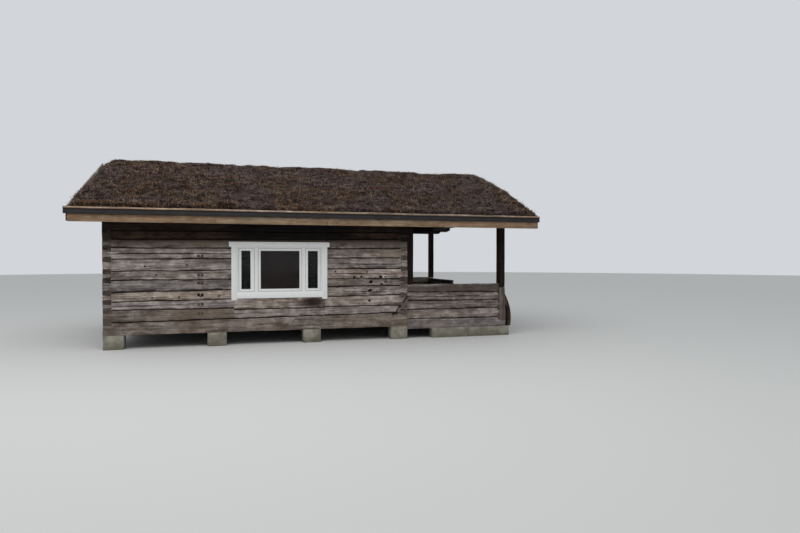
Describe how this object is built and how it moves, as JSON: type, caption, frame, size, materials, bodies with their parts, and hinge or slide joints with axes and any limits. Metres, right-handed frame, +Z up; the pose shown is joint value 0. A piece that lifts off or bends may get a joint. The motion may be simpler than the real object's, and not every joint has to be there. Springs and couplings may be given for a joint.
{
  "type": "lakeside log boathouse with turf roof and open porch",
  "caption": "Small hewn-log boathouse on dovetailed corners, with a white casement window and a turf gable roof that runs on over a railed porch.",
  "frame": {"origin": "on the ground below the middle of the whole roof", "axes": "+X along the front wall from the room towards the porch, +Y from the windowed front wall into the depth, +Z up"},
  "size_m": [10.32, 6.36, 4.4215],
  "materials": {
    "concrete": "rough cast concrete, stained",
    "grey_logs": "unpainted pine, weathered silver grey with drying cracks",
    "dark_logs": "sheltered pine, dark brown",
    "dark_timber": "tarred or wet dark brown timber",
    "roof_timber": "sawn brown timber",
    "gable_boards": "weathered boards",
    "floor_boards": "worn bare boards",
    "new_pine": "fairly new planed pine with knots",
    "pale_timber": "bleached timber",
    "roofing_felt": "dark roofing felt",
    "turf": "heather and dry grass on peat",
    "white_paint": "white satin paint on timber",
    "window_glass": "clear",
    "blind_cloth": "brown woven blind",
    "black_iron": "black, dull"
  },
  "bodies": {
    "root": {"footings": "concrete", "front_sill_log": "grey_logs", "front_wall_left": "grey_logs", "front_wall_right": "grey_logs", "front_wall_infill": "grey_logs", "front_wall_top": "dark_logs", "rear_wall": "grey_logs", "left_wall": "grey_logs", "inner_wall_sill": "grey_logs", "inner_wall_front": "grey_logs", "inner_wall_rear": "grey_logs", "inner_wall_top": "dark_logs", "room_floor": "floor_boards", "porch_floor": "floor_boards", "porch_wall_front": "grey_logs", "porch_wall_rear": "grey_logs", "porch_side_sill": "grey_logs", "porch_side_front": "grey_logs", "porch_side_rear": "grey_logs", "corner_board": "gable_boards", "bowed_plank": "dark_timber", "posts": "dark_timber", "lower_plates": "dark_timber", "upper_plates": "dark_timber", "tie_beam": "dark_timber", "ridge_beam": "roof_timber", "front_rafters": "roof_timber", "rear_rafters": "roof_timber", "front_deck": "roof_timber", "rear_deck": "roof_timber", "gable_boards": "gable_boards", "fascias": "new_pine", "edge_bands": "roofing_felt", "turf_boards": "pale_timber", "verge_boards": "pale_timber", "front_turf": "turf", "rear_turf": "turf", "window_casing": "white_paint", "window_frame": "white_paint", "window_sashes": "white_paint", "window_panes": "window_glass", "window_blind": "blind_cloth", "door_frame": "roof_timber", "door_leaf": "roof_timber", "door_fittings": "black_iron"}
  },
  "joints": []
}
